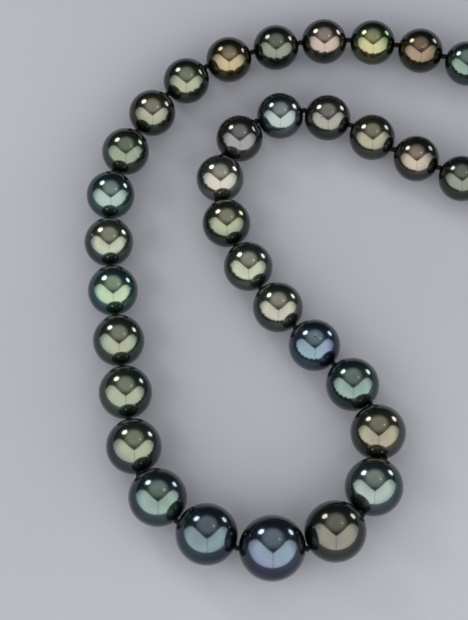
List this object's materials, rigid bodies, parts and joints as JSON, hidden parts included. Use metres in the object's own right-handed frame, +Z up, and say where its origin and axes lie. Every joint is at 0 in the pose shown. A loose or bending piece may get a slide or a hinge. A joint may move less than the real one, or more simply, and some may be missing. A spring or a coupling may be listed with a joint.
{
  "type": "pearl necklace",
  "caption": "Graduated strand of round dark pearls knotted on black silk, laid in a folded loop with its push-button ball clasp undone.",
  "frame": {"origin": "middle of the laid strand's footprint, on the surface it lies on", "axes": "+Z up from the surface; +Y from the centre pearl towards the far side of the loop; +X towards the undone clasp"},
  "size_m": [0.1408, 0.1202, 0.0127],
  "materials": {
    "nacre": "dark nacre with soft green, blue and aubergine overtones, lustrous",
    "silk": "black twisted bead silk, satin",
    "gimp": "fine wound white-metal wire",
    "white_gold": "polished white gold"
  },
  "bodies": {
    "pearl_centre": {"pearl_centre": "nacre"},
    "pearl_left_01": {"pearl_left_01": "nacre"},
    "pearl_left_02": {"pearl_left_02": "nacre"},
    "pearl_left_03": {"pearl_left_03": "nacre"},
    "pearl_left_04": {"pearl_left_04": "nacre"},
    "pearl_left_05": {"pearl_left_05": "nacre"},
    "pearl_left_06": {"pearl_left_06": "nacre"},
    "pearl_left_07": {"pearl_left_07": "nacre"},
    "pearl_left_08": {"pearl_left_08": "nacre"},
    "pearl_left_09": {"pearl_left_09": "nacre"},
    "pearl_left_10": {"pearl_left_10": "nacre"},
    "pearl_left_11": {"pearl_left_11": "nacre"},
    "pearl_left_12": {"pearl_left_12": "nacre"},
    "pearl_left_13": {"pearl_left_13": "nacre"},
    "pearl_left_14": {"pearl_left_14": "nacre"},
    "pearl_left_15": {"pearl_left_15": "nacre"},
    "pearl_left_16": {"pearl_left_16": "nacre"},
    "pearl_left_17": {"pearl_left_17": "nacre"},
    "pearl_left_18": {"pearl_left_18": "nacre"},
    "pearl_left_19": {"pearl_left_19": "nacre"},
    "pearl_left_20": {"pearl_left_20": "nacre", "silk_end_left": "silk", "gimp_left": "gimp"},
    "pearl_right_01": {"pearl_right_01": "nacre"},
    "pearl_right_02": {"pearl_right_02": "nacre"},
    "pearl_right_03": {"pearl_right_03": "nacre"},
    "pearl_right_04": {"pearl_right_04": "nacre"},
    "pearl_right_05": {"pearl_right_05": "nacre"},
    "pearl_right_06": {"pearl_right_06": "nacre"},
    "pearl_right_07": {"pearl_right_07": "nacre"},
    "pearl_right_08": {"pearl_right_08": "nacre"},
    "pearl_right_09": {"pearl_right_09": "nacre"},
    "pearl_right_10": {"pearl_right_10": "nacre"},
    "pearl_right_11": {"pearl_right_11": "nacre"},
    "pearl_right_12": {"pearl_right_12": "nacre"},
    "pearl_right_13": {"pearl_right_13": "nacre"},
    "pearl_right_14": {"pearl_right_14": "nacre"},
    "pearl_right_15": {"pearl_right_15": "nacre"},
    "pearl_right_16": {"pearl_right_16": "nacre"},
    "pearl_right_17": {"pearl_right_17": "nacre"},
    "pearl_right_18": {"pearl_right_18": "nacre"},
    "pearl_right_19": {"pearl_right_19": "nacre"},
    "pearl_right_20": {"pearl_right_20": "nacre", "silk_end_right": "silk", "gimp_right": "gimp"},
    "clasp_plug": {"plug_cap": "white_gold", "plug_pin": "white_gold"},
    "clasp_ball": {"rear_shell": "white_gold", "front_shell": "white_gold", "socket_tube": "white_gold", "latch_keeper": "white_gold", "latch_spring": "white_gold"},
    "clasp_button": {"latch_plate": "white_gold", "release_button": "white_gold"}
  },
  "joints": [
    {"name": "knot_left_01", "type": "hinge", "parent": "pearl_centre", "child": "pearl_left_01", "pos_m": [-0.04029, -0.05367, 0.00635], "axis": [0, 0, 1], "range_deg": [-6, 60]},
    {"name": "knot_left_02", "type": "hinge", "parent": "pearl_left_01", "child": "pearl_left_02", "pos_m": [-0.05164, -0.04814, 0.00579], "axis": [-0.6309, -0.7759, 0], "range_deg": [-23, 26]},
    {"name": "knot_left_03", "type": "hinge", "parent": "pearl_left_02", "child": "pearl_left_03", "pos_m": [-0.05899, -0.03865, 0.00553], "axis": [0, 0, -1], "range_deg": [-64, 6]},
    {"name": "knot_left_04", "type": "hinge", "parent": "pearl_left_03", "child": "pearl_left_04", "pos_m": [-0.06098, -0.0273, 0.00532], "axis": [0.9876, 0.1571, 0], "range_deg": [-37, 37]},
    {"name": "knot_left_05", "type": "hinge", "parent": "pearl_left_04", "child": "pearl_left_05", "pos_m": [-0.06255, -0.01625, 0.00515], "axis": [0, 0, -1], "range_deg": [-38, 7]},
    {"name": "knot_left_06", "type": "hinge", "parent": "pearl_left_05", "child": "pearl_left_06", "pos_m": [-0.06394, -0.00548, 0.00502], "axis": [-0.9925, -0.1219, 0], "range_deg": [-38, 38]},
    {"name": "knot_left_07", "type": "hinge", "parent": "pearl_left_06", "child": "pearl_left_07", "pos_m": [-0.06518, 0.00509, 0.00492], "axis": [0, 0, -1], "range_deg": [-41, 7]},
    {"name": "knot_left_08", "type": "hinge", "parent": "pearl_left_07", "child": "pearl_left_08", "pos_m": [-0.06593, 0.01553, 0.00485], "axis": [0.9999, -0.0162, 0], "range_deg": [-37, 37]},
    {"name": "knot_left_09", "type": "hinge", "parent": "pearl_left_08", "child": "pearl_left_09", "pos_m": [-0.06485, 0.02581, 0.00479], "axis": [0, 0, 1], "range_deg": [-7, 60]},
    {"name": "knot_left_10", "type": "hinge", "parent": "pearl_left_09", "child": "pearl_left_10", "pos_m": [-0.06023, 0.03493, 0.00474], "axis": [-0.8559, 0.5171, 0], "range_deg": [-38, 38]},
    {"name": "knot_left_11", "type": "hinge", "parent": "pearl_left_10", "child": "pearl_left_11", "pos_m": [-0.05436, 0.04319, 0.0047], "axis": [0, 0, -1], "range_deg": [-54, 9]},
    {"name": "knot_left_12", "type": "hinge", "parent": "pearl_left_11", "child": "pearl_left_12", "pos_m": [-0.04656, 0.04958, 0.00468], "axis": [0.4941, -0.8694, 0], "range_deg": [-34, 34]},
    {"name": "knot_left_13", "type": "hinge", "parent": "pearl_left_12", "child": "pearl_left_13", "pos_m": [-0.03714, 0.05299, 0.00465], "axis": [0, 0, 1], "range_deg": [-12, 47]},
    {"name": "knot_left_14", "type": "hinge", "parent": "pearl_left_13", "child": "pearl_left_14", "pos_m": [-0.02738, 0.05516, 0.00464], "axis": [0.1411, -0.99, 0], "range_deg": [-39, 38]},
    {"name": "knot_left_15", "type": "hinge", "parent": "pearl_left_14", "child": "pearl_left_15", "pos_m": [-0.01745, 0.0558, 0.00462], "axis": [0, 0, 1], "range_deg": [-15, 50]},
    {"name": "knot_left_16", "type": "hinge", "parent": "pearl_left_15", "child": "pearl_left_16", "pos_m": [-0.00758, 0.05469, 0.00461], "axis": [0.1907, 0.9817, 0], "range_deg": [-39, 39]},
    {"name": "knot_left_17", "type": "hinge", "parent": "pearl_left_16", "child": "pearl_left_17", "pos_m": [0.00198, 0.05203, 0.0046], "axis": [0, 0, 1], "range_deg": [-22, 43]},
    {"name": "knot_left_18", "type": "hinge", "parent": "pearl_left_17", "child": "pearl_left_18", "pos_m": [0.01132, 0.04877, 0.0046], "axis": [-0.3237, -0.9462, 0], "range_deg": [-40, 40]},
    {"name": "knot_left_19", "type": "hinge", "parent": "pearl_left_18", "child": "pearl_left_19", "pos_m": [0.0207, 0.04562, 0.00459], "axis": [0, 0, -1], "range_deg": [-36, 43]},
    {"name": "knot_left_20", "type": "hinge", "parent": "pearl_left_19", "child": "pearl_left_20", "pos_m": [0.03024, 0.04306, 0.00459], "axis": [-0.2482, -0.9687, 0], "range_deg": [-40, 40]},
    {"name": "knot_right_01", "type": "hinge", "parent": "pearl_centre", "child": "pearl_right_01", "pos_m": [-0.0269, -0.05385, 0.00635], "axis": [0, 0, 1], "range_deg": [-69, 0]},
    {"name": "knot_right_02", "type": "hinge", "parent": "pearl_right_01", "child": "pearl_right_02", "pos_m": [-0.0164, -0.04685, 0.00579], "axis": [-0.7763, 0.6304, 0], "range_deg": [-9, 11]},
    {"name": "knot_right_03", "type": "hinge", "parent": "pearl_right_02", "child": "pearl_right_03", "pos_m": [-0.01193, -0.03571, 0.00553], "axis": [0, 0, 1], "range_deg": [-70, 2]},
    {"name": "knot_right_04", "type": "hinge", "parent": "pearl_right_03", "child": "pearl_right_04", "pos_m": [-0.01435, -0.02444, 0.00532], "axis": [0.9008, 0.4342, 0], "range_deg": [-26, 25]},
    {"name": "knot_right_05", "type": "hinge", "parent": "pearl_right_04", "child": "pearl_right_05", "pos_m": [-0.02142, -0.01581, 0.00515], "axis": [0, 0, 1], "range_deg": [-42, 11]},
    {"name": "knot_right_06", "type": "hinge", "parent": "pearl_right_05", "child": "pearl_right_06", "pos_m": [-0.02889, -0.00791, 0.00502], "axis": [-0.7541, -0.6567, 0], "range_deg": [-38, 38]},
    {"name": "knot_right_07", "type": "hinge", "parent": "pearl_right_06", "child": "pearl_right_07", "pos_m": [-0.03555, 0.00039, 0.00492], "axis": [0, 0, -1], "range_deg": [-10, 28]},
    {"name": "knot_right_08", "type": "hinge", "parent": "pearl_right_07", "child": "pearl_right_08", "pos_m": [-0.04045, 0.00964, 0.00485], "axis": [0.91, 0.4145, 0], "range_deg": [-38, 38]},
    {"name": "knot_right_09", "type": "hinge", "parent": "pearl_right_08", "child": "pearl_right_09", "pos_m": [-0.04416, 0.01928, 0.00479], "axis": [0, 0, 1], "range_deg": [-11, 9]},
    {"name": "knot_right_10", "type": "hinge", "parent": "pearl_right_09", "child": "pearl_right_10", "pos_m": [-0.043, 0.02944, 0.00474], "axis": [-0.9169, 0.399, 0], "range_deg": [-20, 20]},
    {"name": "knot_right_11", "type": "hinge", "parent": "pearl_right_10", "child": "pearl_right_11", "pos_m": [-0.03641, 0.03714, 0.0047], "axis": [0, 0, 1], "range_deg": [-4, 10]},
    {"name": "knot_right_12", "type": "hinge", "parent": "pearl_right_11", "child": "pearl_right_12", "pos_m": [-0.02665, 0.03966, 0.00468], "axis": [-0.0443, -0.999, 0], "range_deg": [-20, 20]},
    {"name": "knot_right_13", "type": "hinge", "parent": "pearl_right_12", "child": "pearl_right_13", "pos_m": [-0.0172, 0.03631, 0.00465], "axis": [0, 0, 1], "range_deg": [-26, 13]},
    {"name": "knot_right_14", "type": "hinge", "parent": "pearl_right_13", "child": "pearl_right_14", "pos_m": [-0.00882, 0.03089, 0.00464], "axis": [0.4772, 0.8788, 0], "range_deg": [-39, 39]},
    {"name": "knot_right_15", "type": "hinge", "parent": "pearl_right_14", "child": "pearl_right_15", "pos_m": [0.00027, 0.02682, 0.00462], "axis": [0, 0, -1], "range_deg": [-17, 35]},
    {"name": "knot_right_16", "type": "hinge", "parent": "pearl_right_15", "child": "pearl_right_16", "pos_m": [0.00898, 0.02203, 0.00461], "axis": [-0.4581, -0.8889, 0], "range_deg": [-39, 39]},
    {"name": "knot_right_17", "type": "hinge", "parent": "pearl_right_16", "child": "pearl_right_17", "pos_m": [0.01791, 0.01773, 0.0046], "axis": [0, 0, -1], "range_deg": [-27, 48]},
    {"name": "knot_right_18", "type": "hinge", "parent": "pearl_right_17", "child": "pearl_right_18", "pos_m": [0.02734, 0.01472, 0.0046], "axis": [0.2308, 0.973, 0], "range_deg": [-39, 39]},
    {"name": "knot_right_19", "type": "hinge", "parent": "pearl_right_18", "child": "pearl_right_19", "pos_m": [0.03711, 0.01317, 0.00459], "axis": [0, 0, -1], "range_deg": [-24, 55]},
    {"name": "knot_right_20", "type": "hinge", "parent": "pearl_right_19", "child": "pearl_right_20", "pos_m": [0.04692, 0.01431, 0.00459], "axis": [0.1714, -0.9852, 0], "range_deg": [-39, 39]},
    {"name": "clasp_swing", "type": "hinge", "parent": "pearl_right_20", "child": "clasp_ball", "pos_m": [0.05878, 0.01707, 0.00459], "axis": [0, 0, 1], "range_deg": [-60, 60]},
    {"name": "plug_swing", "type": "hinge", "parent": "pearl_left_20", "child": "clasp_plug", "pos_m": [0.04207, 0.04018, 0.00459], "axis": [0, 0, 1], "range_deg": [-60, 60]},
    {"name": "button_press", "type": "slide", "parent": "clasp_ball", "child": "clasp_button", "axis": [0, 0, -1], "range_m": [0, 0.00045], "stiffness_N_per_m": 400, "springref_m": -0.0005, "deforming": ["latch_spring"]}
  ]
}
